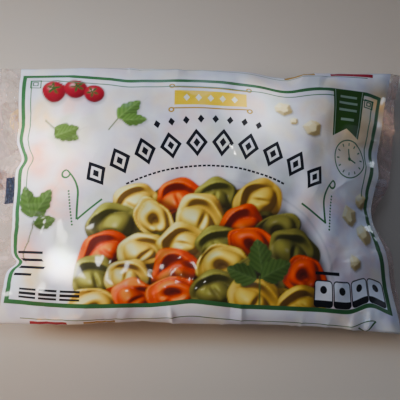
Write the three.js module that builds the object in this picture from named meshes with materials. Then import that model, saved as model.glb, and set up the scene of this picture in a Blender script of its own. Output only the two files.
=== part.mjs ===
// Sealed pillow bag of frozen filled pasta, lying flat with its printed front up.
// A tube of plastic film is pressed flat and sealed across both ends. The fill spreads inside
// it, so the bag is thick in the middle, flat where it rests and drawn in along its sides,
// while the flat end seals keep their full width and stand out as corners.
//
// Millimetres, +Z up. X runs from seal to seal, Y across the front, and the bag rests on z = 0.
// On the film, s is the distance along the tube from its middle, and each cross-section is a
// ring of points that starts at the +Y side and runs over the top to the -Y side and back below.

import * as THREE from 'three';

// Film, pressed flat
const flatLength = 314;
const flatWidth = 206;
const sealWidth = 10;
const sealThickness = 0.8;

// Bag as filled
const fillDepth = 41;
const waistHeight = 18.5;
const sealHeight = 13;
const restPress = 1.35;
const sideGather = 23;
const leftGather = 24;
const rightGather = 7;
const sideDrift = 4;

// How far the middle of each end is drawn in behind its corners
const leftDraw = 8;
const rightDraw = 11;

// The right end hangs over: it droops a little at the +Y corner and folds under towards -Y
const rollStart = 135;
const rollLeast = 18;
const rollMost = 46;
const rollTurnY = 8;

// Waves of the puckered end seals
const wavePitch = 47;
const leftWave = 3.2;
const rightWave = 1.5;

// Folds that run in from an end: where the fold is, how far it pulls in, its half width
// and how far it reaches along the bag
const endFolds = [
  { end: -1, y: 24, pull: 9, halfWidth: 8, reach: 44 },
  { end: -1, y: -45, pull: 9, halfWidth: 9, reach: 40 },
  { end: 1, y: -14, pull: 11, halfWidth: 18, reach: 36 },
];

// Dents in the long sides
const sideFolds = [
  { side: 1, x: 58, pull: 5, halfWidth: 17, reach: 30 },
  { side: -1, x: -38, pull: 2, halfWidth: 26, reach: 24 },
];

// Soft bumps where the pasta presses on the film
const bumpPitch = 27;
const bumpHeight = 1.5;
const bumpRadius = 10;
const bumpSeed = 7;

// Mesh
const bodyRows = 52;
const sealRows = 2;
const halfRing = 32;
const sectionSamples = 240;

const halfLength = flatLength / 2;
const innerHalf = halfLength - sealWidth;

function smoothStep(from, to, value) {
  const t = Math.min(Math.max((value - from) / (to - from), 0), 1);
  return t * t * (3 - 2 * t);
}

// Repeatable random numbers from 0 to 1
function seededRandom(seed) {
  let state = seed;
  return () => {
    state = (state * 1664525 + 1013904223) % 4294967296;
    return state / 4294967296;
  };
}

// How full the bag is at s: 1 in the middle, 0 from the inner edge of the seals
function fullness(s) {
  const outward = Math.min(Math.abs(s) / innerHalf, 1);
  return (1 - outward ** 3) ** 0.75;
}

// Plan width: the film goes round the fill, so a thicker section is a narrower one
function planWidth(s) {
  const outward = Math.abs(s) / halfLength;
  const gather = s < 0 ? leftGather : rightGather;
  return flatWidth - sideGather + (sideGather - gather) * outward ** 2.2;
}

// One section as [y, height above the middle line, depth below it] from +Y to -Y
function sectionShape(s) {
  const full = fullness(s);
  const half = planWidth(s) / 2;
  const rise = (fillDepth - waistHeight) * full;
  const depth = waistHeight * restPress * full;
  const flatness = 2 + 0.7 * full;
  const roundness = 1 + full;
  const shape = [];
  for (let i = 0; i <= sectionSamples; i += 1) {
    const across = Math.cos((Math.PI * i) / sectionSamples);
    const swell = (1 - Math.abs(across) ** flatness) ** (1 / roundness);
    const film = (sealThickness / 2) * (1 - Math.abs(across) ** 8);
    shape.push([across * half, rise * swell + film, depth * swell + film]);
  }
  return shape;
}

// Points of a polyline at equal distances along it
function evenPoints(line, count) {
  const lengths = [0];
  for (let i = 1; i < line.length; i += 1) {
    const step = Math.hypot(line[i][0] - line[i - 1][0], line[i][1] - line[i - 1][1]);
    lengths.push(lengths[i - 1] + step);
  }
  const total = lengths[lengths.length - 1];
  const points = [];
  let k = 0;
  for (let i = 0; i <= count; i += 1) {
    const wanted = (total * i) / count;
    while (k < line.length - 2 && lengths[k + 1] < wanted) {
      k += 1;
    }
    const part = (wanted - lengths[k]) / (lengths[k + 1] - lengths[k]);
    points.push([0, 1].map((n) => line[k][n] + (line[k + 1][n] - line[k][n]) * part));
  }
  return points;
}

// Downward slope of the middle line at s, in radians, for a point y across the bag
function droop(s, y) {
  const settle = Math.asin((waistHeight - sealHeight) / 90) * smoothStep(40, 100, Math.abs(s));
  if (s < rollStart) {
    return settle;
  }
  const turn = rollLeast + (rollMost - rollLeast) * smoothStep(rollTurnY + 25, rollTurnY - 35, y);
  const along = (s - rollStart) / (halfLength - rollStart);
  return settle + THREE.MathUtils.degToRad(turn) * Math.min(1, 1.3 * along);
}

// Middle line from the middle of the bag out to s: how far it has gone out, how far down,
// and its slope there
function middleLine(s, y) {
  const steps = 60;
  const sign = Math.sign(s);
  let out = 0;
  let down = 0;
  for (let i = 0; i < steps; i += 1) {
    const angle = droop((s * (i + 0.5)) / steps, y);
    out += (Math.cos(angle) * s) / steps;
    down += (Math.sin(angle) * s * sign) / steps;
  }
  return { out, down, angle: droop(s, y) * sign };
}

// Pull of the end folds on a point, along the bag
function endPull(s, y) {
  let pull = 0;
  for (const fold of endFolds) {
    const inward = halfLength - s * fold.end;
    const spread = fold.halfWidth * (1 + inward / 60);
    pull += fold.end * fold.pull * Math.exp(-(((y - fold.y) / spread) ** 2) - inward / fold.reach);
  }
  return pull;
}

// Pull of the side folds on a point, across the bag
function sidePull(x, y, half) {
  let pull = 0;
  for (const fold of sideFolds) {
    const inward = half - y * fold.side;
    pull += fold.side * fold.pull * Math.exp(-(((x - fold.x) / fold.halfWidth) ** 2) - inward / fold.reach);
  }
  return pull;
}

function makeBumps() {
  const random = seededRandom(bumpSeed);
  const bumps = [];
  const rowStep = (bumpPitch * Math.sqrt(3)) / 2;
  for (let row = -4; row <= 4; row += 1) {
    for (let column = -6; column <= 6; column += 1) {
      const x = (column + (row % 2 ? 0.5 : 0)) * bumpPitch + 10 * (random() - 0.5);
      const y = row * rowStep + 10 * (random() - 0.5);
      bumps.push({ x, y, height: bumpHeight * (0.4 + 0.9 * random()) });
    }
  }
  return bumps;
}

const bumps = makeBumps();

function bumpLift(x, y) {
  let lift = 0;
  for (const bump of bumps) {
    const away = Math.hypot(x - bump.x, y - bump.y) / bumpRadius;
    lift += away < 3 ? bump.height * Math.exp(-away * away) : 0;
  }
  return lift;
}

// Place of one film point: s along the tube, y across, and its height above (or depth below)
// the middle line
function place(s, y, height, half) {
  const full = fullness(s);
  const middle = middleLine(s, y);
  const outward = Math.abs(s);
  const draw = (s < 0 ? leftDraw : rightDraw) * smoothStep(50, innerHalf, outward) * (1 - (y / half) ** 2);
  const wave = (s < 0 ? leftWave : rightWave) * smoothStep(70, halfLength, outward);
  const ripple = wave * Math.sin((2 * Math.PI * y) / wavePitch + Math.sign(s));
  const pull = endPull(s, y);
  const x = middle.out - Math.sign(s) * draw - pull + height * Math.sin(middle.angle);
  const top = full * smoothStep(0, 12, height);
  const press = 0.5 * top * Math.abs(pull);
  const lift = top * bumpLift(x, y);
  const z = waistHeight - middle.down + ripple + height * Math.cos(middle.angle) - press + lift;
  const drift = sideDrift * Math.sin((Math.PI * s) / flatLength);
  return new THREE.Vector3(x, y + drift - sidePull(x, y, half), Math.max(z, 0));
}

// Ring of film points round the bag at s, 2 * halfRing of them
function ringAt(s) {
  const shape = sectionShape(s);
  const floorDepth = waistHeight - middleLine(s, 0).down;
  const over = evenPoints(shape.map(([y, above]) => [y, above]), halfRing);
  const under = evenPoints(shape.map(([y, , below]) => [y, -Math.min(below, floorDepth)]), halfRing);
  const half = planWidth(s) / 2;
  const ring = over.map(([y, height]) => place(s, y, height, half));
  for (let i = halfRing - 1; i > 0; i -= 1) {
    ring.push(place(s, under[i][0], under[i][1], half));
  }
  return ring;
}

function stationList() {
  const stations = [];
  for (let i = sealRows; i > 0; i -= 1) {
    stations.push(-innerHalf - (sealWidth * i) / sealRows);
  }
  for (let i = 0; i <= bodyRows; i += 1) {
    const even = (2 * i) / bodyRows - 1;
    stations.push(innerHalf * Math.sin((Math.PI / 2) * even) * 0.35 + innerHalf * even * 0.65);
  }
  for (let i = 1; i <= sealRows; i += 1) {
    stations.push(innerHalf + (sealWidth * i) / sealRows);
  }
  return stations;
}

function makeBag() {
  const rings = stationList().map(ringAt);
  const ringSize = 2 * halfRing;
  const faces = [];
  for (let row = 0; row + 1 < rings.length; row += 1) {
    for (let i = 0; i < ringSize; i += 1) {
      const next = (i + 1) % ringSize;
      const a = row * ringSize + i;
      const b = row * ringSize + next;
      faces.push(a, b, b + ringSize, a, b + ringSize, a + ringSize);
    }
  }
  // Each cut end of the seals is closed by a narrow strip between its upper and lower edge
  const lastRow = (rings.length - 1) * ringSize;
  for (let i = 0; i < halfRing; i += 1) {
    const below = (ringSize - i) % ringSize;
    const belowNext = ringSize - i - 1;
    if (i > 0) {
      faces.push(i, below, belowNext);
      faces.push(lastRow + i, lastRow + belowNext, lastRow + below);
    }
    if (i + 1 < halfRing) {
      faces.push(i, belowNext, i + 1);
      faces.push(lastRow + i, lastRow + i + 1, lastRow + belowNext);
    }
  }
  const geometry = new THREE.BufferGeometry().setFromPoints(rings.flat());
  geometry.setIndex(faces);
  geometry.computeVertexNormals();
  return geometry;
}

// The part stands on the middle of its box
const bagShape = makeBag();
bagShape.computeBoundingBox();
const box = bagShape.boundingBox;
bagShape.translate(-(box.min.x + box.max.x) / 2, -(box.min.y + box.max.y) / 2, 0);

const film = new THREE.MeshStandardMaterial({ color: 0xd9d6dd, roughness: 0.35, metalness: 0 });
const bag = new THREE.Mesh(bagShape, film);
bag.name = 'bag';

const part = new THREE.Group();
part.add(bag);

export default part;
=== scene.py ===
import functools
import itertools
import math

import bpy
import numpy as np
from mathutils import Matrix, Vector
from mathutils.kdtree import KDTree


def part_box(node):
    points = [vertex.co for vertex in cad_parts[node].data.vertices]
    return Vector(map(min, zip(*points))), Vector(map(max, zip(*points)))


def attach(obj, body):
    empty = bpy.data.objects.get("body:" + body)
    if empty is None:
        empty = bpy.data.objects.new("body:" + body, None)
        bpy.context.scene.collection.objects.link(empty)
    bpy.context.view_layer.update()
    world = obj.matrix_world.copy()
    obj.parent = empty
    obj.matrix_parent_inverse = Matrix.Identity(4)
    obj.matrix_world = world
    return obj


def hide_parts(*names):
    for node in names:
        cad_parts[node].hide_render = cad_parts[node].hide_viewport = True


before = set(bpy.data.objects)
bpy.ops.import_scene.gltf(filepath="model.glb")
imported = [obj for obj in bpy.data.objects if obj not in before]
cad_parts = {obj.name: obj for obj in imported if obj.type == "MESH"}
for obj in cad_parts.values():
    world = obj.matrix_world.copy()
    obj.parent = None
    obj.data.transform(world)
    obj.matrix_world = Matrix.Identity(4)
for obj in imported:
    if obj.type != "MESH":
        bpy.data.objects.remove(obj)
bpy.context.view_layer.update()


# ----------------------------------------------------------
# Film tube. One sheet of plastic film, rolled to a tube, lap-sealed down the back and crimped
# flat across both ends. Here it is a grid, carried to the shape of the full bag point by point:
# s runs along the bag and t round the tube, with t = 0 down the middle of the front.
MM = 0.001
flat_length = 314.0
flat_width = 206.0
seal_width = 10.0
half_length = flat_length / 2
inner_half = half_length - seal_width

fill_depth = 41.0
waist_height = 18.5
seal_height = 13.0
rest_press = 1.35
side_gather = 23.0
left_gather = 24.0
right_gather = 7.0
side_drift = 4.0
left_draw = 8.0
right_draw = 11.0

slope_run = 90.0
roll_start = 135.0
roll_least = 18.0
roll_most = 46.0
roll_turn_y = 8.0

wave_pitch = 47.0
left_wave = 3.2
right_wave = 1.5

# end, y, pull, half width, reach: the folds that run in from the ends
end_folds = [(-1, 24, 9, 8, 44), (-1, -45, 9, 9, 40), (1, -14, 11, 18, 36)]
# side, x, pull, half width, reach: the dents in the long sides
side_folds = [(1, 58, 5, 17, 30), (-1, -38, 2, 26, 24)]

bump_pitch = 27.0
bump_height = 1.5
bump_radius = 10.0
bump_shift = 10.0

# Two layers of film lie on each other in the seals, and the whole bag stands on its lap seal
film_gap = 0.12
film_rest = 0.3

print_left = -130.0
print_right = 143.5


def share(value):
    """The value kept within 0 and 1."""
    return np.clip(value, 0, 1)


def ease(start, stop, value):
    """Soft rise from 0 at start to 1 at stop."""
    part = share((value - start) / (stop - start))
    return part * part * (3 - 2 * part)


def fullness(s):
    """How full the tube is at s: 1 in the middle and 0 at the seals."""
    outward = min(abs(s) / inner_half, 1)
    return (1 - outward ** 3) ** 0.75


def plan_half(s):
    """Half width of the bag at s, seen from above."""
    gather = left_gather if s < 0 else right_gather
    outward = abs(s) / half_length
    return (flat_width - side_gather + (side_gather - gather) * outward ** 2.2) / 2


def droop(s, y):
    """Downward slope of the bag's middle layer at s, in radians."""
    slope = math.asin((waist_height - seal_height) / slope_run) * ease(40, 100, abs(s))
    turn = roll_least + (roll_most - roll_least) * ease(roll_turn_y + 25, roll_turn_y - 35, y)
    along = max(0, (s - roll_start) / (half_length - roll_start))
    return slope + np.radians(turn) * min(1, 1.3 * along)


def middle_line(s, y, steps=60):
    """How far the middle layer has gone out and down at s, and its slope there."""
    out = np.zeros_like(y)
    down = np.zeros_like(y)
    for i in range(steps):
        angle = droop(s * (i + 0.5) / steps, y)
        out += np.cos(angle) * s / steps
        down += np.sin(angle) * abs(s) / steps
    return out, down, droop(s, y) * np.sign(s)


def solid_draws(state=7):
    """Repeatable numbers from 0 to 1, the same as those that place the solid's bumps."""
    while True:
        state = (state * 1664525 + 1013904223) % 4294967296
        yield state / 4294967296


# x, y and height of each bump that the pasta makes: a staggered grid, each shifted at random
draws = solid_draws()
bumps = [((column + row % 2 / 2) * bump_pitch + bump_shift * (next(draws) - 0.5),
          row * bump_pitch * math.sqrt(3) / 2 + bump_shift * (next(draws) - 0.5),
          bump_height * (0.4 + 0.9 * next(draws)))
         for row in range(-4, 5) for column in range(-6, 7)]
random = np.random.default_rng(19)


def between(low, high):
    """A random number between these."""
    return random.uniform(low, high)


def pleat_set(end, count, high, reach_span):
    """Sharp little gathers that run in from a seal: end, y, height, width, reach and slant."""
    return [(end, between(-98, 98), high * between(0.35, 1) * random.choice([-1, 1]),
             between(1.6, 4.5), between(*reach_span), between(-0.35, 0.35))
            for _ in range(count)]


pleats = pleat_set(-1, 34, 1.7, (10, 34)) + pleat_set(1, 34, 1.4, (8, 24))


def pleat_lift(s, y):
    """How far the gathers lift the film."""
    lift = np.zeros_like(y)
    inward = half_length - abs(s)
    for end, at, height, width, reach, slant in pleats:
        if end * s > 0:
            off = np.abs(y - at - slant * inward) / (width * (1 + inward / 45))
            lift += height * np.exp(-off - inward / reach)
    return lift


def place(s, y, height):
    """Film point at s along the tube, y across and height over the middle layer, in mm."""
    full = fullness(s)
    half = plan_half(s)
    end = np.sign(s)
    out, down, angle = middle_line(s, y)
    draw = (left_draw if s < 0 else right_draw) * ease(50, inner_half, abs(s))
    wave = (left_wave if s < 0 else right_wave) * ease(70, half_length, abs(s))
    ripple = wave * np.sin(2 * np.pi * y / wave_pitch + end) + pleat_lift(s, y)
    pull = np.zeros_like(y)
    for side, at, depth, width, reach in end_folds:
        inward = half_length - s * side
        spread = width * (1 + inward / 60)
        pull += side * depth * np.exp(-((y - at) / spread) ** 2 - inward / reach)
    x = out - end * draw * (1 - (y / half) ** 2) - pull + height * np.sin(angle)
    top = full * ease(0, 12, height)
    lift = np.zeros_like(y)
    for bump_x, bump_y, size in bumps:
        away = np.hypot(x - bump_x, y - bump_y) / bump_radius
        lift += np.where(away < 3, size * np.exp(-away ** 2), 0)
    z = waist_height - down + ripple + height * np.cos(angle) + top * (lift - 0.5 * np.abs(pull))
    tuck = np.zeros_like(y)
    for side, at, depth, width, reach in side_folds:
        inward = half - y * side
        tuck += side * depth * np.exp(-((x - at) / width) ** 2 - inward / reach)
    drift = side_drift * math.sin(math.pi * s / flat_length)
    return np.stack([x, y + drift - tuck, np.maximum(z, film_rest)], axis=-1)


def film_row(s, t):
    """The film's points at s, for all t round the tube."""
    full = fullness(s)
    half = plan_half(s)
    across = np.sin(np.linspace(0, np.pi / 2, 241))
    swell = (1 - across ** (2 + 0.7 * full)) ** (1 / (1 + full))
    gap = film_gap * (1 - across ** 8) * ease(half_length, half_length - 1, abs(s))
    over = (fill_depth - waist_height) * full * swell + gap
    floor = waist_height - middle_line(s, np.zeros(1))[1][0]
    under = np.minimum(waist_height * rest_press * full * swell + gap, floor)
    y = np.concatenate([across, across[-2::-1]]) * half
    height = np.concatenate([over, -under[-2::-1]])
    arc = np.concatenate([[0], np.cumsum(np.hypot(np.diff(y), np.diff(height)))])
    at = np.abs(t) / flat_width * arc[-1]
    return place(s, np.sign(t) * np.interp(at, arc, y), np.interp(at, arc, height))


def stops(*spans):
    """Grid lines from spans of (start, stop, spacing), closer where the print is fine."""
    lines = []
    for start, stop, spacing in spans:
        lines.extend(np.linspace(start, stop, round((stop - start) / spacing), endpoint=False))
    return np.array(lines + [spans[-1][1]])


grid_s = stops((-half_length, print_left, 1.3), (print_left, -92, 0.95), (-92, 90, 0.75),
               (90, print_right, 1.3), (print_right, half_length, 1.3))
grid_t = stops((-flat_width, -103, 3.6), (-103, -87, 1.7), (-87, 4, 0.75), (4, 30, 1.3),
               (30, 78, 0.9), (78, 103, 1.6), (103, flat_width, 3.6))
points = np.array([film_row(s, grid_t) for s in grid_s])
sheet_s, sheet_t = np.meshgrid(grid_s, grid_t, indexing="ij")

# The bag is moved so that its middle lies in the middle of the frame's box
low_corner, high_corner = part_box("bag")
middle = (np.array(low_corner) + np.array(high_corner)) / 2 / MM
box_middle = (points.min(axis=(0, 1)) + points.max(axis=(0, 1))) / 2
points[..., :2] += middle[:2] - box_middle[:2]


def crease_set(count, s_span, t_span, turn_span, long_span, deep_span, wide_span=(1.3, 2.8)):
    """Random creases: middle, turn in degrees, half length, depth, width and bend of each."""
    spans = (s_span, t_span, turn_span, long_span, deep_span, wide_span, (-0.012, 0.012))
    return [[between(*span) for span in spans] for _ in range(count)]


creases = (
    crease_set(46, (-120, 130), (88, 118), (60, 120), (7, 18), (-0.8, 0.8))
    + crease_set(46, (-120, 130), (-118, -88), (60, 120), (7, 18), (-0.8, 0.8))
    + crease_set(60, (-125, 130), (-84, 84), (0, 180), (4, 13), (-0.35, 0.35))
    + crease_set(40, (-126, -92), (-95, 95), (-35, 35), (9, 22), (-0.7, 0.9))
    + crease_set(34, (108, 138), (-95, 95), (-35, 35), (8, 18), (-0.7, 0.7))
    + crease_set(16, (-42, 10), (-80, -45), (10, 80), (4, 11), (0.3, 0.8))
    + crease_set(30, (-120, 125), (-80, 80), (30, 150), (16, 34), (-1.1, 0.9), (5, 10))
)


def turned(s, t, turn):
    """The place s, t read along and aside of a direction that is turned so many radians."""
    return s * math.cos(turn) + t * math.sin(turn), t * math.cos(turn) - s * math.sin(turn)


def crease_lift():
    """How far the creases push the film in or out."""
    lift = np.zeros_like(sheet_s)
    for at_s, at_t, turn, long, deep, wide, bend in creases:
        near = np.hypot(sheet_s - at_s, sheet_t - at_t) < long + 3 * wide + 6
        along, aside = turned(sheet_s[near] - at_s, sheet_t[near] - at_t, math.radians(turn))
        taper = share(1 - (along / long) ** 2) ** 1.5
        off = np.abs(aside - bend * along ** 2) / wide
        lift[near] += deep * taper * np.exp(-(off ** 2 if wide > 4 else off))
    # The film is drawn smooth over one pasta piece near the left front corner
    taut = 1 - 0.85 * np.exp(-((sheet_s + 89) ** 2 + (sheet_t + 61) ** 2) / 13 ** 2)
    return lift * taut * ease(0, 12, inner_half - np.abs(sheet_s))


def outward_normals(surface):
    normal = np.cross(np.gradient(surface, axis=0), np.gradient(surface, axis=1))
    return normal / np.maximum(np.linalg.norm(normal, axis=-1, keepdims=True), 1e-9)


points += outward_normals(points) * crease_lift()[..., None]
points[..., 2] = np.maximum(points[..., 2], film_rest)


# ----------------------------------------------------------
# Filled pasta rings, frozen, in egg, spinach and tomato dough. Torus primitives, each reshaped
# to a fat belly, a thin closed side and a brim folded up round it. The upper layer lies under
# the bumps of the film, the lower one in the gaps between them.
ring_reach = 7.4
ring_tube = (3.7, 2.7)
brim_reach = 4.2
touch_gap = 0.35
raster = 1.5
raster_shape = (280, 200)


def raster_cells(spots):
    """Rows and columns of the raster, which is seen from above, that the spots lie in."""
    return tuple((np.round(spots[:, :2] / raster).astype(int) + np.array(raster_shape) // 2).T)


def film_height(film_points, pick, bare):
    """Raster of the film's height: the lowest or the highest near each place."""
    heights = np.full(raster_shape, bare)
    pick.at(heights, raster_cells(film_points), film_points[:, 2])
    for axis in (0, 1):
        heights = pick(heights, pick(np.roll(heights, 1, axis), np.roll(heights, -1, axis)))
    return np.where(heights == bare, waist_height, heights)


top_rows = np.abs(grid_t) <= flat_width / 2
film_over = film_height(points[:, top_rows].reshape(-1, 3), np.minimum, 1e3)
film_under = film_height(points[:, ~top_rows].reshape(-1, 3), np.maximum, -1e3)


def add_piece(name, primitive, **sizes):
    """A new primitive, with nothing else selected."""
    bpy.ops.object.select_all(action="DESELECT")
    primitive(**sizes)
    bpy.context.object.name = name
    return bpy.context.object


ring_mesh = {"major_segments": 26, "minor_segments": 16, "major_radius": 1, "minor_radius": 0.4}
plain_ring = add_piece("plain_ring", bpy.ops.mesh.primitive_torus_add, **ring_mesh)
ring_points = np.zeros(len(plain_ring.data.vertices) * 3)
plain_ring.data.vertices.foreach_get("co", ring_points)
ring_points = ring_points.reshape(-1, 3)
around = np.arctan2(ring_points[:, 1], ring_points[:, 0])
about = np.arctan2(ring_points[:, 2], np.hypot(ring_points[:, 0], ring_points[:, 1]) - 1)
bpy.ops.object.delete()


def hump(off, width):
    """Soft hump: 1 where off is 0, and falling away over the width."""
    return np.exp(-(off / width) ** 2)


def pasta_ring():
    """Points of one ring of its own, lying flat with its belly towards +X, in mm."""
    belly = 0.5 + 0.5 * np.cos(around)
    tube = ring_tube[0] + ring_tube[1] * belly ** 1.2
    brim_turn = between(0.75, 1.15) + 0.25 * np.sin(2 * around + between(0, 6))
    brim = brim_reach * belly ** 0.5 * hump(about - brim_turn, 0.3)
    dimple = 1 + 0.07 * np.sin(3 * around + between(0, 6)) * np.sin(about)
    reach = (tube + brim) * dimple
    away = ring_reach + reach * np.cos(about)
    lift = 1.3 * np.sin(around / 2) * np.sign(between(-1, 1))
    return np.stack([away * np.cos(around) - 2, away * np.sin(around) * 0.96,
                     reach * np.sin(about) * 0.92 + lift], axis=-1)


def laid(ring, x, y, tilt, turn, size):
    """The ring turned, tilted and moved over to x, y."""
    tilt_from = between(0, 2 * np.pi)
    flat_x, flat_y = turned(ring[:, 0] * size, ring[:, 1] * size, -turn)
    rise, _ = turned(flat_x, flat_y, tilt_from)
    return np.stack([flat_x + x, flat_y + y, ring[:, 2] * size + rise * np.tan(tilt)], axis=-1)


dough_names = ("egg", "spinach", "tomato")
rings = {name: [] for name in dough_names}
# The rings that press most on the film: their bump, their dough and how far off it they lie
known_rings = [(-104, 5, "tomato", 0, 11), (-101, 42, "egg", 0, 0), (-92, 26, "spinach", 4, 0),
               (-11, 17, "tomato", 0, 0)]
ring_places = [(x, y, "top") for x, y, _ in bumps]
ring_places += [(x + bump_pitch / 2, y + 8, "low") for x, y, _ in bumps]
# Small pieces that have slid out towards the seals
ring_places += [(-126, 42, "end"), (131, 58, "end"), (123, -52, "end")]
for x, y, layer in ring_places:
    dough = dough_names[random.choice([0, 0, 1, 1, 2, 2, 2])]
    off_x = off_y = 0
    for known_x, known_y, known, known_off_x, known_off_y in known_rings:
        if math.hypot(x - known_x, y - known_y) < 10:
            dough, off_x, off_y = known, known_off_x, known_off_y
    if x > 80 and y > 15:
        dough = "egg"
    smaller = 0.8 if layer == "end" else 1
    ring = laid(pasta_ring(), x + off_x, y + off_y, math.radians(between(2, 13)),
                between(0, 2 * np.pi), between(0.88, 0.98) * smaller)
    cells_there = raster_cells(ring)
    over, under = film_over[cells_there], film_under[cells_there]
    room = np.min(over - under)
    thick = np.ptp(ring[:, 2])
    if layer == "end":
        ring[:, 2] *= min(1, np.median(over - under) / thick)
        dough = "egg"
    elif room < (1.9 if layer == "low" else 0.6) * thick:
        continue
    if layer == "low":
        ring[:, 2] += np.quantile(under - ring[:, 2], 0.96)
    else:
        ring[:, 2] += np.quantile(over - ring[:, 2], 0.04)
    ring[:, 2] = np.clip(ring[:, 2], under + touch_gap, over - touch_gap)
    rings[dough].append(ring)


def new_material(name):
    """A material; its node tree becomes the one that new nodes go into."""
    global tree
    material = bpy.data.materials.new(name)
    material.use_nodes = True
    tree = material.node_tree
    return material


def new_group(name, inputs, outputs):
    """A node group and its inputs; its node tree becomes the one that new nodes go into."""
    global tree
    tree = bpy.data.node_groups.new(name, "ShaderNodeTree")
    for way, sockets in (("INPUT", inputs), ("OUTPUT", outputs)):
        for socket, kind in sockets.items():
            tree.interface.new_socket(socket, in_out=way, socket_type="NodeSocket" + kind)
    return tree, tree.nodes.new("NodeGroupInput").outputs


def set_inputs(node, values):
    """Set a node's inputs to plain values, or link them to outputs and fields."""
    for slot, value in values.items():
        value = getattr(value, "socket", value)
        if isinstance(value, bpy.types.NodeSocket):
            tree.links.new(value, node.inputs[slot])
        elif node.inputs[slot].type == "RGBA":
            node.inputs[slot].default_value = (*value, 1)
        else:
            node.inputs[slot].default_value = value


def set_shader(values):
    """The same for the current material's shader."""
    set_inputs(tree.nodes["Principled BSDF"], values)


def new_node(kind, values=(), **settings):
    """Outputs of a new shader node in the current tree."""
    node = tree.nodes.new("ShaderNode" + kind)
    for setting, value in settings.items():
        setattr(node, setting, value)
    set_inputs(node, dict(values))
    return node.outputs


def noise(where, scale, detail, distortion=0):
    values = {"Vector": where, "Scale": scale, "Detail": detail, "Distortion": distortion}
    return new_node("TexNoise", values)["Fac"]


def mixed(under, over, mask):
    """Colour over laid on colour under by mask."""
    return new_node("Mix", {0: mask, 6: under, 7: over}, data_type="RGBA")[2]


def bumped(height, strength, distance):
    """The normal that a height gives."""
    values = {"Height": height, "Strength": strength, "Distance": distance}
    return new_node("Bump", values)["Normal"]


# Matt frozen dough: two tones in soft clouds, and small floury specks
frozen_dough, dough_in = new_group(
    "frozen_dough",
    {"Where": "Vector", "Light": "Color", "Deep": "Color", "Speck": "Color", "Speckled": "Float"},
    {"Colour": "Color", "Height": "Float"})
patches = noise(dough_in["Where"], 90, 4)
dots = noise(dough_in["Where"], 900, 2)
fleck = new_node("MapRange", {"Value": dots, "From Min": 0.62, "From Max": 0.7,
                              "To Max": dough_in["Speckled"]})[0]
flecked = mixed(mixed(dough_in["Light"], dough_in["Deep"], patches), dough_in["Speck"], fleck)
set_inputs(tree.nodes.new("NodeGroupOutput"), {"Colour": flecked, "Height": patches})

# Light tone, deep tone, colour of the specks and how much they show
dough_looks = {
    "egg": ((0.72, 0.5, 0.17), (0.6, 0.36, 0.09), (0.85, 0.75, 0.5), 0.5),
    "spinach": ((0.2, 0.23, 0.04), (0.11, 0.14, 0.02), (0.05, 0.08, 0.01), 0.8),
    "tomato": ((0.75, 0.17, 0.03), (0.6, 0.1, 0.02), (0.85, 0.4, 0.15), 0.5),
}
for name, (light, deep, speck, speckled) in dough_looks.items():
    pasta = add_piece(name + "_tortellini", bpy.ops.mesh.primitive_torus_add, **ring_mesh)
    more = pasta.modifiers.new("more", "ARRAY")
    more.count = len(rings[name])
    bpy.ops.object.modifier_apply(modifier="more")
    pasta.data.vertices.foreach_set("co", (np.concatenate(rings[name]) * MM).ravel())
    pasta.data.update()
    bpy.ops.object.shade_smooth()
    pasta.data.materials.append(new_material(name + "_dough"))
    look = {"Where": new_node("TexCoord")["Object"], "Light": light, "Deep": deep, "Speck": speck,
            "Speckled": speckled}
    surface = new_node("Group", look, node_tree=frozen_dough)
    set_shader({"Base Color": surface["Colour"], "Normal": bumped(surface["Height"], 0.5, 0.0004),
                "Roughness": 0.55})
    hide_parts("bag")
    name + "_pasta"
    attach(pasta, "root")


# ----------------------------------------------------------
# Printed film. The milky middle of the tube, with white ink inside and, on the front, a picture
# of pasta on a plate in a line-work border. The picture is painted on the mesh in simple shapes,
# and the line work is worked out in the shader from the film's s and t.

# The folds tug the film along itself, so its print runs unevenly near the edges: how far the
# print has crept at places along the top, bottom, left and right of its border
creep_top = [(-129, -13), (-91, -5.8), (-52, 2), (-2, -0.4), (37, 3.2), (62, 5.5), (78, 2.5),
             (97, 0.8), (126, -1.5), (142, 1.2)]
creep_bottom = [(-126, 1.3), (-30, 1.2), (-4, -3.4), (28, 0.5), (82, 2.6), (105, 4.6), (121, -2),
                (138, 5)]
creep_left = [(-84, -2.8), (-75, -2.1), (-69, -0.6), (-65.5, 0.2), (-62.5, -0.4), (-59, -3.8),
              (-56.5, -4), (-53.9, 0.6), (-50.5, 3.3), (-46, 3.4), (-39, 1.5), (-33, -0.6),
              (-27, -0.8), (-18, 0.4), (-6, 1.5), (12, 3), (16, 1.6), (18.5, 1.4), (21, 2.6),
              (27, 6.7), (31.5, 7.8), (36, 7.4), (42, 5.1), (48, 3.1), (80, 2.5)]
creep_right = [(-91, -0.3), (-44, -0.6), (1, 2.6), (18, 0.4), (30, 3.4), (51, 0.8), (81, -3.9)]


def creep(places, at, blur=27):
    """Soft curve through the listed places."""
    where, shift = np.array(places).T
    fine = np.linspace(where[0] - 20, where[-1] + 20, 400)
    rough = np.interp(fine, where, shift)
    kernel = np.hanning(blur)
    smooth = np.convolve(np.pad(rough, blur // 2, mode="edge"), kernel / kernel.sum(), mode="valid")
    return np.interp(at, fine, smooth)


# Along the bag the film moves with its print, so the ink's edge keeps its margin; the seals stay
slip = creep(creep_left, sheet_t, 7) * ease(-75, -125, sheet_s) * ease(-inner_half, print_left, sheet_s)
slip += creep(creep_right, sheet_t) * ease(80, 132, sheet_s) * ease(half_length, print_right, sheet_s)
slip *= ease(150, 108, np.abs(sheet_t))
for column, axis in np.ndindex(len(grid_t), 3):
    points[:, column, axis] = np.interp(grid_s - slip[:, column], grid_s, points[:, column, axis])
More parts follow.
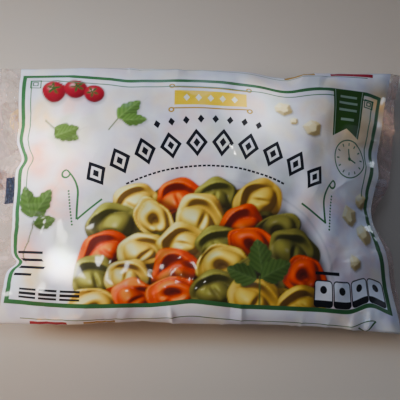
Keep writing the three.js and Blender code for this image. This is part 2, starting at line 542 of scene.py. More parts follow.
# Across the bag the print alone moves
film_t = sheet_t + creep(creep_top, sheet_s) * ease(35, 78, sheet_t) * ease(150, 108, sheet_t)
film_t += creep(creep_bottom, sheet_s) * ease(-45, -80, sheet_t) * ease(-150, -108, sheet_t)


def film_grid(name, film):
    """A grid primitive carried to these points of the film."""
    piece = add_piece(name, bpy.ops.mesh.primitive_grid_add, x_subdivisions=len(film) - 1,
                      y_subdivisions=film.shape[1] - 1, size=1)
    piece.data.vertices.foreach_set("co", (film.transpose(1, 0, 2) * MM).ravel())
    piece.data.update()
    return piece


def film_piece(name, columns):
    """The stretch of the tube at these grid columns, its s and t in the UV map 'film'."""
    piece = film_grid(name, points[columns])
    film_map = piece.data.uv_layers[0]
    film_map.name = "film"
    corner = np.zeros(len(piece.data.loops), dtype=int)
    piece.data.loops.foreach_get("vertex_index", corner)
    flat = np.stack([sheet_s[columns].T.ravel(), film_t[columns].T.ravel()], axis=-1)
    film_map.data.foreach_set("uv", flat[corner].ravel())
    return piece


def close_film():
    """Close the lap seam and the cut ends of the film piece at hand, and shade it smooth."""
    bpy.ops.object.mode_set(mode="EDIT")
    bpy.ops.mesh.select_all(action="SELECT")
    bpy.ops.mesh.remove_doubles(threshold=0.00001)
    bpy.ops.mesh.normals_make_consistent(inside=False)
    bpy.ops.object.mode_set(mode="OBJECT")
    bpy.ops.object.shade_smooth()


def tone(red, green, blue):
    """Scene-linear colour from a screen colour of 0 to 255."""
    part = np.array([red, green, blue]) / 255
    return np.where(part <= 0.04045, part / 12.92, ((part + 0.055) / 1.055) ** 2.4)


printed = np.flatnonzero((grid_s >= print_left - 0.01) & (grid_s <= print_right + 0.01))
paint_s, paint_t = sheet_s[printed], film_t[printed]
film_white = tone(231, 236, 252)
paint = np.concatenate([np.broadcast_to(film_white, paint_s.shape + (3,)),
                        np.zeros(paint_s.shape + (1,))], axis=-1)


def lay(mask, colour, area=slice(None)):
    """Lay colour over the picture where mask is 1."""
    under = paint[area][..., 3:] * (1 - mask[..., None])
    whole = mask[..., None] + under
    blend = (colour * mask[..., None] + paint[area][..., :3] * under) / np.maximum(whole, 1e-6)
    paint[area] = np.concatenate([np.where(whole > 1e-6, blend, film_white), whole], axis=-1)


def local(at_s, at_t, size, turn, reach):
    """Paint area near a place, and its own turned coordinates there, in units of size."""
    near = np.hypot(paint_s - at_s, paint_t - at_t) < reach * size
    return near, *turned((paint_s[near] - at_s) / size, (paint_t[near] - at_t) / size, turn)


# One piece of the picture at a time is modelled as a relief on a small square of cells
cells = 72
cell_reach = 1.25
cell_line = np.linspace(-cell_reach, cell_reach, cells)
cell_step = cell_line[1] - cell_line[0]
cell_u, cell_v = np.meshgrid(cell_line, cell_line, indexing="ij")


def blurred(field, times):
    """The field softened by its neighbours, so many times over."""
    for _ in range(times):
        for axis in (0, 1):
            field = (np.roll(field, 1, axis) + 2 * field + np.roll(field, -1, axis)) / 4
    return field


def relief_light(height, inside, turn):
    """Light and shine on a relief seen from above, lit from the upper left, with its shadows."""
    du, dv = np.gradient(height, cell_step)
    steep = np.sqrt(1 + du ** 2 + dv ** 2)
    to_s, to_t, to_up = np.array([-0.45, 0.5, 0.74]) / math.hypot(0.45, 0.5, 0.74)
    to_u, to_v = turned(to_s, to_t, turn)
    light = share((to_up - to_u * du - to_v * dv) / steep)
    level = math.hypot(to_u, to_v)
    shadow = np.zeros_like(height)
    for k in range(1, 14):
        off = k * cell_step * 1.3
        spots = ((axis + toward / level * off + cell_reach) / cell_step
                 for axis, toward in ((cell_u, to_u), (cell_v, to_v)))
        iu, iv = (np.clip(np.round(spot), 0, cells - 1).astype(int) for spot in spots)
        rise = height[iu, iv] - height - off * to_up / level
        shadow = np.maximum(shadow, share(rise / 0.08))
    shadow = blurred(shadow, 2)
    hollow = share(blurred(height, 14) - height) * 2.3
    shine_u, shine_v = turned(-0.24, 0.27, turn)
    shine = blurred(share((0.93 - shine_u * du - shine_v * dv) / steep) ** 60, 1)
    shine = shine * share((inside - 0.03) / 0.1) * (1 - shadow)
    return (0.17 + 0.83 * light * (1 - 0.68 * shadow)) * np.clip(1 - hollow, 0.15, 1), shine


def read_cells(field, u, v):
    """The field's value at u, v, worked out between the cells."""
    fu, fv = (u + cell_reach) / cell_step, (v + cell_reach) / cell_step
    iu, iv = np.clip(fu, 0, cells - 2).astype(int), np.clip(fv, 0, cells - 2).astype(int)
    a, b = share(fu - iu), share(fv - iv)
    near = field[iu, iv] * (1 - b) + field[iu, iv + 1] * b
    return near * (1 - a) + (field[iu + 1, iv] * (1 - b) + field[iu + 1, iv + 1] * b) * a


def ramp(value, shades):
    """Colour from five shades, deep shadow to full light."""
    at = (0, 0.25, 0.55, 0.8, 1)
    parts = zip(*(tone(*shade) for shade in shades))
    return np.stack([np.interp(value, at, part) for part in parts], axis=-1)


def dough_relief(kind):
    """Relief of one filled pasta piece and how far each cell is inside its outline."""
    wave = random.uniform(0, 2 * np.pi, 8)
    u = cell_u + 0.05 * np.sin(3 * cell_v + wave[0]) + 0.03 * np.sin(6 * cell_v + wave[1])
    v = cell_v + 0.05 * np.sin(3 * cell_u + wave[2]) + 0.03 * np.sin(6 * cell_u + wave[3])
    far, angle = np.hypot(u, v), np.arctan2(v, u)
    inside = (0.93 + 0.05 * np.sin(2 * angle + wave[4]) + 0.035 * np.sin(3 * angle + wave[5])
              + 0.02 * np.sin(5 * angle + wave[6]) - far)
    if kind == "ring":
        # A round body with its two ends lapped, a hole in it and a thin flange round it
        apart = np.angle(np.exp(1j * (angle - between(-2.6, -0.6))))
        thick = 0.2 + 0.055 * (1 - np.cos(apart))
        middle_at = 0.44 + 0.03 * np.sin(2 * angle + wave[7])
        body = 0.1 + 1.72 * np.sqrt(share(thick ** 2 - (far - middle_at) ** 2))
        lap = 0.16 * hump(apart, 0.28) * share(1 - np.abs(far - 0.5) / 0.3)
        rise = 0.16 * share((far - 0.6) / 0.3) ** 2 * (0.7 + 0.5 * np.sin(2 * angle + wave[0]))
        flange = np.where(far > 0.5, 0.14 + rise, -0.3)
        hole = np.exp(-(((u + 0.02) / 0.17) ** 2 + ((v - 0.02) / 0.15) ** 2) ** 1.5)
        height = np.maximum(body + lap, flange) - 0.35 * hole
    else:
        # A fat pinched belly in front of a brim that stands up behind it
        back = between(0.9, 2.3)
        apart = np.angle(np.exp(1j * (angle - back)))
        lean = between(0.12, 0.2)
        belly_u, belly_v = u + lean * math.cos(back), v + lean * math.sin(back)
        along, aside = turned(belly_u, belly_v, back)
        belly = 0.85 * np.sqrt(share(1 - (along / 0.5) ** 2 - (aside / 0.68) ** 2))
        pinch = hump(aside - between(-0.2, 0.2) - 0.35 * along, 0.1)
        belly = belly * (1 - 0.3 * pinch * share(0.7 + along * 2.2))
        wall_at = 0.74 + 0.04 * np.sin(3 * angle + wave[6])
        wall = 0.5 * hump(far - wall_at, 0.17) + 0.12
        wall = wall * share(0.35 + 0.75 * np.cos(apart))
        sheet = 0.14 * np.sqrt(share(1 - (far / 0.98) ** 2))
        height = np.maximum(np.maximum(belly, wall), sheet)
    height = height + 0.02 * np.sin(7 * u + wave[1]) * np.sin(6 * v + wave[2])
    return blurred(np.where(inside > 0, height, np.minimum(height, 0.02)), 1), inside


def paint_pasta(at_s, at_t, size, turn, squash, shades, kind, dim):
    """A filled pasta piece with its shadow."""
    height, inside = dough_relief(kind)
    light, shine = relief_light(height, inside, turn)
    near, u, v = local(at_s + 0.13 * size, at_t - 0.17 * size, size, 0, 1.7)
    dark = 0.75 * (0.25 + 0.75 * paint[near][..., 3])
    lay(dark * hump(np.maximum(np.hypot(u, v) - 0.86, 0), 0.17), tone(38, 27, 17), near)
    near, u, v = local(at_s, at_t, size, turn, 1.22)
    v = v / squash
    colour = ramp(read_cells(light, u, v) * dim, shades)
    colour = colour + 0.3 * (read_cells(shine, u, v) * dim ** 2)[:, None]
    lay(share(read_cells(inside, u, v) * size / 0.9 + 0.5), share(colour), near)


def leaf_half(u, slim):
    """Half width of a leaf along its middle line, from -0.5 at its foot to 0.5 at its tip."""
    return slim * share(1 - (2 * u) ** 2) ** 0.75 * (1 - 0.5 * u)


def paint_leaf(at_s, at_t, length, turn, slim, bright):
    """A pointed leaf with a scalloped edge and a pale midrib; at_s, at_t is its foot."""
    mid_s, mid_t = at_s + math.cos(turn) * length / 2, at_t + math.sin(turn) * length / 2
    near, u, v = local(mid_s + 1.2, mid_t - 1.5, length, turn, 0.8)
    lay(0.4 * share((leaf_half(u, slim) - np.abs(v)) * length / 3 + 0.3), tone(60, 62, 66), near)
    near, u, v = local(mid_s, mid_t, length, turn, 0.7)
    half = leaf_half(u, slim) * (0.92 + 0.2 * np.abs(np.sin(12 * (u - 0.6 * np.abs(v)))))
    mask = share((half - np.abs(v)) * length / 0.9 + 0.5) * (np.abs(u) < 0.5)
    veins = 0.5 + 0.5 * np.sin(34 * (u - np.abs(v) * 1.1))
    side = np.where(v > 0, 1.0, 0.72)
    colour = tone(84, 118, 50) * (side * (0.75 + 0.35 * veins))[:, None]
    rib = np.exp(-np.abs(v) * length / 0.5)[:, None]
    lay(mask, (colour * (1 - 0.5 * rib) + tone(118, 150, 84) * 0.5 * rib) * bright, near)


def paint_stalk(from_s, from_t, to_s, to_t):
    """A straight herb stalk, 1.1 mm thick."""
    reach = math.hypot(to_s - from_s, to_t - from_t)
    turn = math.atan2(to_t - from_t, to_s - from_s)
    near, u, v = local((from_s + to_s) / 2, (from_t + to_t) / 2, 1, turn, reach / 2 + 2)
    inside = 0.55 - np.maximum(np.abs(u) - reach / 2, np.abs(v))
    lay(share(inside / 0.7 + 0.5), tone(74, 98, 42), near)


def paint_crumb(at_s, at_t, size, turn):
    """A crumbled lump of cream-coloured filling: a few cut faces with worn edges."""
    height = np.full_like(cell_u, 0.8)
    for k in range(7):
        facing = 2 * np.pi * k / 7 + between(-0.35, 0.35)
        outward, _ = turned(cell_u, cell_v, facing)
        height = np.minimum(height, (between(0.8, 1) - outward) * between(1.1, 2.2))
    height = blurred(height, 3)
    light, _ = relief_light(height, height, turn)
    near, u, v = local(at_s + 0.7, at_t - 0.9, size, turn, 1.5)
    lay(0.5 * share(read_cells(height, u, v) * 3 + 0.4), tone(96, 90, 96), near)
    near, u, v = local(at_s, at_t, size, turn, 1.22)
    shades = ((128, 104, 66), (176, 152, 102), (230, 210, 150), (248, 234, 184), (255, 250, 222))
    lay(share(read_cells(height, u, v) * size / 1.4 + 0.2),
        ramp(read_cells(light, u, v), shades), near)


def paint_tomato(at_s, at_t, size, turn):
    """A small round tomato with a green star where its stalk was."""
    near, u, v = local(at_s + 1, at_t - 1.4, size, 0, 1.6)
    lay(0.45 * np.clip(1.2 - np.hypot(u, v), 0, 0.3) / 0.3, tone(70, 60, 66), near)
    ball = 0.8 * np.sqrt(np.clip(1.03 - cell_u ** 2 - cell_v ** 2, 0.02, 1))
    light, shine = relief_light(ball, 1 - np.hypot(cell_u, cell_v), turn)
    near, u, v = local(at_s, at_t, size, turn, 1.2)
    angle = np.arctan2(v - 0.25, u)
    skin = tone(160, 14, 40) * (0.3 + 0.85 * read_cells(light, u, v))[:, None]
    skin = skin + 0.5 * read_cells(shine, u, v)[:, None]
    star = share((0.42 + 0.26 * np.cos(5 * angle) - np.hypot(u, v - 0.25)) * 6)[:, None]
    lay(share((1 - np.hypot(u, v)) * size / 0.9 + 0.5),
        share(skin * (1 - star) + tone(52, 92, 38) * star), near)


# The plate: its far rim shows as a soft grey curve on the right
plate_s, plate_t = 3.0, -66.0
rim = np.hypot((paint_s - plate_s) / 89, (paint_t - plate_t) / 68)
front_only = ease(-86, -85, paint_t) * (np.abs(paint_t) < 90)
lay(0.62 * front_only * (hump(rim - 0.9, 0.08) * ease(0, 60, paint_s)), tone(168, 174, 190))
lay(0.35 * front_only * hump(rim - 1.0, 0.012) * ease(-20, 60, paint_s), tone(150, 155, 170))

# The heap: rows from the far side to the near one, e, t and s for egg, tomato and spinach dough
dough_shades = {
    "e": ((40, 25, 10), (120, 84, 32), (218, 170, 48), (250, 222, 88), (255, 250, 176)),
    "t": ((42, 8, 6), (118, 28, 13), (212, 54, 0), (244, 88, 0), (255, 146, 50)),
    "s": ((22, 22, 8), (60, 58, 21), (110, 104, 40), (142, 136, 54), (196, 194, 84)),
}
random = np.random.default_rng(4)
row_bow = 0.0012
heap_rows = [(-13, 41, "etse"), (-28, 55, "seets"), (-44, 65, "teests"), (-61, 68, "setest"),
             (-78, 67, "ettsee")]
for row_t, spread, names in heap_rows:
    last = len(names) - 1
    for i in range(last):
        at_s = spread * (2 * (i + 0.5) / last - 1) + between(-4, 4)
        paint_pasta(at_s, row_t - 4 - row_bow * at_s ** 2, between(14, 17),
                    between(-0.8, 0.8), 0.9, dough_shades[names[(i + 2) % len(names)]],
                    "fat", 0.62)
    for i, name in enumerate(names):
        at_s = spread * (2 * i / last - 1) + between(-4, 4)
        at_t = row_t + between(-4, 4) - row_bow * at_s ** 2
        kind, least, most = ("ring", 0.66, 0.9) if random.random() < 0.35 else ("fat", 0.78, 1)
        squash = between(least, most)
        dim = 1.04 - 0.24 * ease(-10, 60, at_s)
        paint_pasta(at_s, at_t, between(16, 20.5), between(-0.8, 0.8), squash,
                    dough_shades[name], kind, dim)

# Herb stalks and leaves, crumbled filling and small tomatoes round the heap
for stalk in ((-101, 41, -109, 47), (-58, 46, -64, 38), (-114, -28, -116.5, -43),
              (-116.5, -43, -122, -56), (40, -64, 41, -84)):
    paint_stalk(*stalk)
for leaf in ((-102, 42, 20, -0.55, 0.3, 0.8), (-100, 36, 16, 0.3, 0.3, 0.8),
             (-58, 46, 22, 0.85, 0.27, 1.6), (-55, 45, 17, 0.1, 0.28, 1.6),
             (-115, -26, 26, 1.85, 0.25, 0.78), (-114, -25, 24, 1.0, 0.27, 0.78),
             (-114, -31, 18, 0.25, 0.27, 0.78), (42, -62, 23, 1.75, 0.32, 0.7),
             (41, -65, 22, 0.5, 0.32, 0.7), (38, -66, 21, 2.8, 0.32, 0.7)):
    paint_leaf(*leaf)
for crumb in ((57, 61, 7.2, 0.4), (64, 50, 3.8, 1.1), (79, 44, 7.4, 0.7), (116, -20, 8, 0.9),
              (127, -33, 8, 0.3), (130, -8, 7, 1.2), (112, -54, 5.6, 0.6)):
    paint_crumb(*crumb)
for tomato in ((-104, 66, 8.6, 0.3), (-89, 69, 8.2, -0.5), (-75.5, 66, 7.4, 0.9)):
    paint_tomato(*tomato)
# The picture ends at the border
paint[..., 3] *= (paint_t <= 80) & (paint_t >= -85)

# Where pasta lies against the film, its colour shows faintly through the white ink
glow = np.zeros(paint_s.shape + (4,))
glow_cell = 3
glow_blurs = 3
glow_tints = {"egg": tone(255, 214, 120), "spinach": tone(180, 190, 120),
              "tomato": tone(255, 160, 105)}
pasta_spots = [(spot, tint) for name, tint in glow_tints.items()
               for spot in np.concatenate(rings[name])[::2]]
pasta_tree = KDTree(len(pasta_spots))
for i, (spot, tint) in enumerate(pasta_spots):
    pasta_tree.insert(spot, i)
pasta_tree.balance()
film_points = points[printed]
# In the right far corner the pasta is packed close under the film
close_packed = np.maximum(np.exp(-((paint_s - 116) ** 2 + (paint_t - 46) ** 2) / 27 ** 2),
                          1.5 * np.exp(-((paint_s - 137) ** 2 + (paint_t - 82) ** 2) / 20 ** 2))
for i, j in itertools.product(*(range(0, count, glow_cell) for count in paint_s.shape)):
    _, index, gap = pasta_tree.find(film_points[i, j])
    fade = 2.8 + 9 * close_packed[i, j]
    shown = min(1, 1.5 * math.exp(-gap / fade))
    glow[i:i + glow_cell, j:j + glow_cell] = (*pasta_spots[index][1], shown)
glow[..., 3] *= 0.35 + 0.75 * ease(-75, -110, paint_s) + 0.6 * close_packed
for _ in range(glow_blurs):
    glow[1:-1] = (glow[:-2] + glow[1:-1] + glow[2:]) / 3
    glow[:, 1:-1] = (glow[:, :-2] + glow[:, 1:-1] + glow[:, 2:]) / 3

printed_film = film_piece("printed_film", printed)
for name, values in (("picture", paint), ("glow", glow)):
    layer = printed_film.data.color_attributes.new(name, "FLOAT_COLOR", "POINT")
    layer.data.foreach_set("color", values.transpose(1, 0, 2).ravel())
close_film()


class Field:
    """A number that varies over the film. A shape is a field that is negative inside it."""

    def __init__(self, socket):
        self.socket = socket

    def math(self, operation, *others, clamp=False):
        values = enumerate((self, *others))
        return Field(new_node("Math", values, operation=operation, use_clamp=clamp)[0])

    def __add__(self, other):
        return self.math("ADD", other)

    def __sub__(self, other):
        return self.math("SUBTRACT", other)

    def __mul__(self, other):
        return self.math("MULTIPLY", other)

    def __abs__(self):
        return self.math("ABSOLUTE")

    def __and__(self, other):
        return self.math("MAXIMUM", other)

    def __or__(self, other):
        return self.math("MINIMUM", other)

    def mask(self, soft=0.35):
        return self.math("MULTIPLY_ADD", -1 / soft, 0.5, clamp=True)


# Fine creases of thin film, as a height in mm and as streaks along their ridges, a painted highlight
# that whitens the clear ends there: scale, sharpness and height of each
crinkle, crinkle_in = new_group("film_crinkle", {"Film": "Vector"},
                                {"Height": "Float", "Streaks": "Float"})
crinkle_height = 0
for scale, sharp, high in ((0.03, 9, 0.42), (0.075, 7, 0.2), (0.2, 4, 0.07)):
    fold = abs(Field(noise(crinkle_in["Film"], scale, 2, 0.8)) - 0.5)
    ridge = fold.math("MULTIPLY_ADD", -sharp, 1, clamp=True)
    crinkle_height = ridge.math("MULTIPLY_ADD", high, crinkle_height)
crease_sheen = new_node("MapRange", {"Value": crinkle_height, "From Min": 0.3, "From Max": 0.62})[0]
set_inputs(tree.nodes.new("NodeGroupOutput"), {"Height": crinkle_height, "Streaks": crease_sheen})


def film_fields():
    """The film's UV map, its s and t, and its fine creases, in the current tree."""
    film_map = new_node("UVMap", uv_map="film")["UV"]
    split = new_node("SeparateXYZ", {0: film_map})
    creased = new_node("Group", {"Film": film_map}, node_tree=crinkle)
    return film_map, Field(split["X"]), Field(split["Y"]), creased


print_finish = new_material("printed_film")
film_uv, S, T, film_creases = film_fields()


def block(at_s, at_t, half_s, half_t):
    return abs(S - at_s) - half_s & abs(T - at_t) - half_t


def length_of(ds, dt):
    return (ds * ds + dt * dt).math("SQRT")


def distance(at_s, at_t):
    return length_of(S - at_s, T - at_t)


def band(shape, width):
    """Line of this width along the edge of a shape."""
    return abs(shape) - width / 2


def run(from_s, from_t, to_s, to_t):
    """Length of a straight run, and how far along and aside of its middle every place is."""
    along, aside = turned(S - (from_s + to_s) / 2, T - (from_t + to_t) / 2,
                          math.atan2(to_t - from_t, to_s - from_s))
    return math.hypot(to_s - from_s, to_t - from_t), along, aside


def stroke(*ends, width):
    """Straight line between two places."""
    reach, along, aside = run(*ends)
    return abs(along) - reach / 2 & abs(aside) - width / 2


def dotted(*ends, count, radius):
    """Row of dots between two places."""
    reach, along, aside = run(*ends)
    pitch = reach / (count - 1)
    wrapped = (along + (reach + pitch) / 2).math("WRAP", 0, pitch) - pitch / 2
    return length_of(wrapped, aside) - radius & abs(along) - (reach + pitch) / 2


def any_of(*shapes):
    return functools.reduce(Field.__or__, shapes)


# Rows of ornament on arcs round one centre below the picture
arc_s, arc_t = 5.0, -104.0
radius = distance(arc_s, arc_t)
angle = (S - arc_s).math("ARCTAN2", T - arc_t)


def arc_row(at, from_angle, to_angle, count):
    """Own coordinates of each place in a row on an arc, and the row's ends as a shape."""
    start, stop = math.radians(from_angle), math.radians(to_angle)
    pitch = (stop - start) / count
    along = ((angle - start).math("WRAP", 0, pitch) - pitch / 2) * at
    ends = (abs(angle - (start + stop) / 2) - (stop - start) / 2) * at
    return along, radius - at, ends


def lozenge(along, aside, half_along, half_aside):
    size = math.hypot(half_along, half_aside)
    scaled = abs(along) * (half_aside / size) + abs(aside) * (half_along / size)
    return scaled - half_along * half_aside / size


along, aside, ends = arc_row(133, -38.3, 38.2, 10)
big = lozenge(along, aside, 7.6, 10.6)
garland = big & lozenge(along, aside, 4.6, 6.6) * -1 | lozenge(along, aside, 2.4, 3.6)
along, aside, ends_small = arc_row(151, -15.9, 14.8, 8)
beads = lozenge(along, aside, 2.4, 3.4)
along, aside, ends_fine = arc_row(115.5, -28.3, 26.4, 36)
dashes = abs(along) - 1.15 & abs(aside) - 0.75
dark_shapes = garland & ends | beads & ends_small | dashes & ends_fine

# Plain bars in rows, four panels with a dot each, and the border
bars = any_of(*[block(at_s, at_t, half_s, 0.95) for at_s, at_t, half_s in (
    (-114, -50, 10), (-115, -55, 9), (-113.5, -60, 10.5), (-117, -65, 7), (88, -60.5, 9.5))])
bars_t = -77.6
short_bars = any_of(*[block(at_s, bars_t, half_s, 3.6)
                      for at_s, half_s in ((-112, 6.4), (-97, 6.6), (-81.5, 6.8))])
short_bars = short_bars & abs((T - bars_t).math("WRAP", -1.5, 1.5)) - 1


def panel(at_s, at_t=-73.6, half_s=6.6, half_t=8.6, corner=2.4):
    """Box with round corners."""
    ds = (abs(S - at_s) - (half_s - corner)).math("MAXIMUM", 0)
    dt = (abs(T - at_t) - (half_t - corner)).math("MAXIMUM", 0)
    return length_of(ds, dt) - corner


panel_places = (84.5, 99, 113.5, 127.6)
panel_fill = any_of(*map(panel, panel_places))
panels = [band(panel_fill, 0.8), panel_fill & T - bars_t]
panels += [distance(at_s, -70.6) - 2.5 for at_s in panel_places]
dark_shapes = any_of(dark_shapes, bars, short_bars, *panels)

frame_line = band(block(5, -2, 131.4, 82.4), 3.2)
thin_line = band(block(5, -2, 125.6, 76.6), 1.0) & T * -1 - 4
knots = any_of(*[band(block(at_s, 71.5, half, half), 0.9)
                 for at_s in (-117.5, 127.5) for half in (3.8, 1.7)])

# A ribbon with a notched end and a clock dial on the right, a curl with dots on each side
ribbon_s = 109.5
ribbon = block(ribbon_s, 60.5, 12.8, 21) & abs(S - ribbon_s) * -0.55 - T + 46.5
ribbon_lines = any_of(band(block(ribbon_s, 64, 11.2, 30), 0.7) & ribbon,
                      *[block(ribbon_s, at_t, half_s, 1.1)
                        for at_t, half_s in ((75, 7), (69, 8), (62.5, 8), (54, 6))])
dial_s, dial_t = 114, 22.9
dial_away = distance(dial_s, dial_t)
ticks_turn = (T - dial_t).math("ARCTAN2", S - dial_s).math("WRAP", -math.pi / 12, math.pi / 12)
ticks = abs(ticks_turn * 11.6) - 0.5 & abs(dial_away - 11.6) - 1.2
dial = any_of(abs(dial_away - 14.8) - 0.5, ticks, dial_away - 1.5,
              stroke(dial_s, dial_t, dial_s, dial_t + 8, width=1.3),
              stroke(dial_s, dial_t, dial_s + 5.6, dial_t - 2.6, width=1.3))
left_bend, right_bend = (T + 10).math("MAXIMUM", 0), (T + 13).math("MAXIMUM", 0)
curls = any_of(
    abs(distance(-91.4, 6) - 2.8) - 0.75 & (S + 91.4 | T - 6),
    abs(S + 81.2 + left_bend * left_bend * 0.028) - 0.85 & abs(T + 9) - 18,
    stroke(-81, -27, -64.3, -12.8, width=1.5),
    abs(distance(97.4, 1.6) - 2.8) - 0.75 & (S * -1 + 97.4 | T - 1.6),
    abs(S - 88.6 - right_bend * right_bend * 0.03) - 0.85 & abs(T + 11.5) - 15.9,
    stroke(89, -27, 69.5, -13.6, width=1.5))
dots = any_of(*[dotted(*ends, count=12, radius=0.8)
                for ends in ((-88, -6.9, -84.4, -30.5), (96.6, -7.3, 91.6, -31.6))])
green_shapes = any_of(frame_line, knots, dial, curls, dots)

label_s, label_t = 5.2, 64.7
label = block(label_s, label_t, 25.3, 6.2)
label_marks = lozenge((S - label_s).math("WRAP", -4.2, 4.2), T - label_t, 2.2, 3)
label_marks = label_marks & abs(S - label_s) - 21
scrolls = any_of(*[block(label_s, at_t, 26.5, 0.6) for at_t in (73.8, 55.9)],
                 *[abs(distance(at_s, at_t) - 1.6) - 0.6
                   for at_s in (-22, 32.4) for at_t in (75, 54.6)])

# Side and back panels: a rule, colour fields and empty table lines
back = abs(T) * -1 + flat_width
side_line = any_of(abs(abs(T) - 95.5) - 0.35 & abs(S - 4) - 119.8,
                   stroke(124, -95.5, 116.6, -104, width=1.1),
                   stroke(111, -98, 116.6, -104, width=0.9))
side_red = block(-96, -99, 13, 1.6) | block(112, 98.4, 16, 1.8)
side_gold = block(-62, -98.6, 10, 1.5) | block(72, 99, 12, 2.2)
back_frame = band(abs(S - 4) - 126 & abs(back - 45) - 44, 2.2) & abs(T) * -1 + 110
back_bars = (abs((back - 12).math("WRAP", -3, 3)) - 0.7 & abs(back - 45) - 30
             & abs(abs(S) - 62) - 34 & abs(T) * -1 + 112)
dark_shapes = dark_shapes | back_bars
green_shapes = green_shapes | back_frame | side_line


def clouds(scale, low, high):
    """Soft patches over the film, 0 to 1."""
    return (Field(noise(film_uv, scale, 2)) - low).math("MULTIPLY", 1 / (high - low), clamp=True)


# Soft random patches over the milky ground: darker lilac ones and creamy ones
ink = mixed(tone(234, 239, 254), tone(212, 206, 238), clouds(0.055, 0.42, 0.72) * 0.8)
ink = mixed(ink, tone(250, 240, 222), clouds(0.038, 0.5, 0.75) * 0.7)
for name, strength in (("glow", 0.8), ("picture", 1)):
    layer = new_node("Attribute", attribute_name=name)
    ink = mixed(ink, layer["Color"], Field(layer["Alpha"]) * strength)
ink = mixed(ink, film_white, panel_fill.mask())
for colour, shape in (((252, 210, 0), label), ((176, 136, 34), scrolls),
                      ((248, 246, 226), label_marks), ((76, 122, 88), thin_line),
                      ((12, 12, 24), dark_shapes), ((49, 103, 58), green_shapes),
                      ((42, 84, 12), ribbon), ((150, 172, 150), ribbon_lines),
                      ((160, 21, 48), side_red), ((168, 127, 38), side_gold)):
    ink = mixed(ink, tone(*colour), shape.mask())

# The ink is laid on a white ground, so the inside of the film is plain white
ink = mixed(ink, film_white, new_node("NewGeometry")["Backfacing"])
set_shader({"Base Color": ink, "Normal": bumped(film_creases["Height"], 0.3, 0.001),
            "Roughness": 0.5, "Specular IOR Level": 0.2, "Coat Weight": 0.7, "Coat Roughness": 0.09})
printed_film.data.materials.append(print_finish)
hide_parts("bag")
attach(printed_film, "root")


# ----------------------------------------------------------
# Clear ends. The tube's unprinted ends, with the crimped seals across them. The left one has a
# dark mark for the packing machine's eye.
clear_finish = new_material("clear_film")
_, S, T, film_creases = film_fields()
crimp_pitch = 1.3
in_seal = (abs(S) * -1 + inner_half).mask(0.6)
crimps = (S * (2 * math.pi / crimp_pitch)).math("SINE") * in_seal * 0.16
height = Field(film_creases["Height"]) * 1.6 + crimps
mark = block(-134.4, -3.7, 4.2, 10.4).mask()
# The clear film's opacity: its own faint haze, more in the seals, and painted highlights that whiten it
# along the crease streaks
haze_and_crease_sheen = Field(film_creases["Streaks"]) * 0.32 + 0.13 + in_seal * 0.18
set_shader({"Base Color": mixed(tone(226, 196, 190), tone(40, 48, 66), mark),
            "Normal": bumped(height, 0.8, 0.001), "Roughness": 0.1,
            "Alpha": haze_and_crease_sheen.math("MAXIMUM", mark * 0.95)})
for name, columns in (("clear_film_left", np.flatnonzero(grid_s <= print_left + 0.01)),
                      ("clear_film_right", np.flatnonzero(grid_s >= print_right - 0.01))):
    clear_film = film_piece(name, columns)
    close_film()
    clear_film.data.materials.append(clear_finish)
    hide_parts("bag")
    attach(clear_film, "root")


# ----------------------------------------------------------
# Lap seal. The sheet's long edges overlap down the middle of the back, and the outer one shows
# as a flat strip with fine crimp lines. A grid primitive laid against the back and thickened.
seam_lift = 0.2
seam_least = 0.06
seam_columns = 5
seam_thickness = 0.08
seam_crimp_pitch = 1.4
seam_points = (points + outward_normals(points) * seam_lift)[:, -seam_columns:]
seam_points[..., 2] = np.maximum(seam_points[..., 2], seam_least)
back_seam = film_grid("back_seam", seam_points)
doubling = back_seam.modifiers.new("thickness", "SOLIDIFY")
doubling.thickness = seam_thickness * MM
doubling.offset = 0
bpy.ops.object.modifier_apply(modifier="thickness")
bpy.ops.object.shade_smooth()
back_seam.data.materials.append(new_material("seam_film"))
across = Field(new_node("SeparateXYZ", {0: new_node("TexCoord")["Object"]})["Y"])
seam_crimps = (across * (2 * math.pi / (seam_crimp_pitch * MM))).math("SINE")
set_shader({"Base Color": mixed(film_white, tone(205, 205, 212), seam_crimps * 0.5 + 0.5),
            "Normal": bumped(seam_crimps, 0.5, 0.0002), "Roughness": 0.35})
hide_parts("bag")
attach(back_seam, "root")


# ----------------------------------------------------------
# Studio. A plain pale floor under the bag, and soft light that is strongest from the left end.
# None of it is part of the bag.
floor = add_piece("floor", bpy.ops.mesh.primitive_plane_add, size=4)
floor.data.materials.append(new_material("pale_floor"))
set_shader({"Base Color": (0.6, 0.53, 0.46), "Roughness": 0.7, "Specular IOR Level": 0})

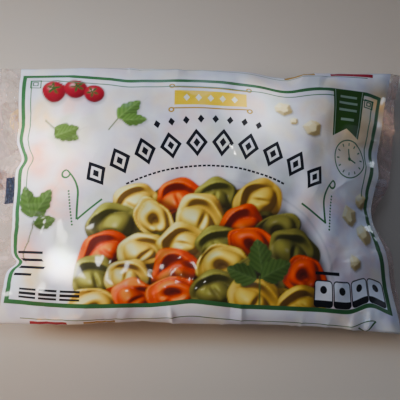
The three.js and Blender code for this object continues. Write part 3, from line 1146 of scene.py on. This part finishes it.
# Square lamps: place, aim, size, power, colour, spread in degrees and the kind of light left out.
# The windows are cool from the back and warm from the front, the spots brighten single patches
# of the film, and the shines only show on its gloss
middle_left, gloss_aim, origin = (-0.08, 0, 0.03), (-0.05, -0.06, 0.03), (0, 0, 0)
left_over = (-0.4, 0.05, 0.5)
lamps = {
    "cool_window": ((-0.55, 0.15, 0.35), middle_left, 0.15, 0.17, (0.52, 0.73, 1), 42, "glossy"),
    "warm_window": ((-0.55, -0.1, 0.35), middle_left, 0.15, 0.085, (1, 0.7, 0.42), 42, "glossy"),
    "side_light": ((-0.65, 0, 0.25), middle_left, 0.15, 0.68, (1, 0.94, 0.83), 70, "glossy"),
    "back_light": ((0, 0.9, 0.5), origin, 0.4, 1.5, (0.6, 0.76, 1), 180, ""),
    "right_light": ((0.6, 0.1, 0.4), origin, 0.3, 0.14, (0.72, 0.78, 1), 180, ""),
    "table_glow": ((-0.3, -0.75, 0.2), (-0.13, 0, 0.03), 0.15, 0.045, (1, 0.42, 0.08), 26, ""),
    "top_spot": ((0.15, 0.2, 0.6), (0.043, 0.05, 0.04), 0.03, 0.006, (1, 0.98, 0.92), 6, ""),
    "left_spot": (left_over, (-0.104, 0.014, 0.03), 0.02, 0.016, (1, 0.8, 0.62), 8, "glossy"),
    "sheen_spot": (left_over, (-0.086, -0.062, 0.03), 0.012, 0.0055, (1, 0.99, 0.94), 2, "glossy"),
    "corner_spot": ((0.4, 0.1, 0.4), (0.146, 0.06, 0.016), 0.012, 0.0004, (1, 0.72, 0.42), 4.5,
                    "glossy"),
    "shine_left": ((-0.443, -0.124, 0.528), gloss_aim, 0.11, 1.4, (1, 0.97, 0.92), 180, "diffuse"),
    "shine_front": ((-0.027, -0.268, 0.6), gloss_aim, 0.05, 0.2, (1, 0.98, 0.95), 180, "diffuse"),
    "shine_right": ((0.62, 0.26, 0.05), gloss_aim, 0.08, 0.16, (0.72, 0.84, 1), 180, "diffuse"),
}
for name, (spot, aim, size, power, colour, spread, left_out) in lamps.items():
    bpy.ops.object.light_add(type="AREA", location=spot)
    lamp = bpy.context.object
    lamp.name = name
    lamp.data.size = size
    lamp.data.energy = power
    lamp.data.color = colour
    lamp.data.spread = math.radians(spread)
    lamp.rotation_euler = (Vector(aim) - Vector(spot)).to_track_quat("-Z", "Y").to_euler()
    lamp.visible_camera = False
    if left_out:
        setattr(lamp, "visible_" + left_out, False)
world = bpy.data.worlds.new("room")
world.use_nodes = True
tree = world.node_tree
set_inputs(tree.nodes["Background"], {"Color": (0.8, 0.86, 1.0), "Strength": 0.09})
bpy.context.scene.world = world

bpy.ops.object.camera_add(location=(-0.0272, -0.1053, 0.3893))
camera = bpy.context.object
camera.name = "camera"
camera.data.sensor_width = 36
camera.data.lens = camera.data.sensor_width / 2 / math.tan(math.radians(20))
camera.rotation_euler = [math.radians(turn) for turn in (14.136, -4.851, 1.633)]
bpy.context.scene.camera = camera
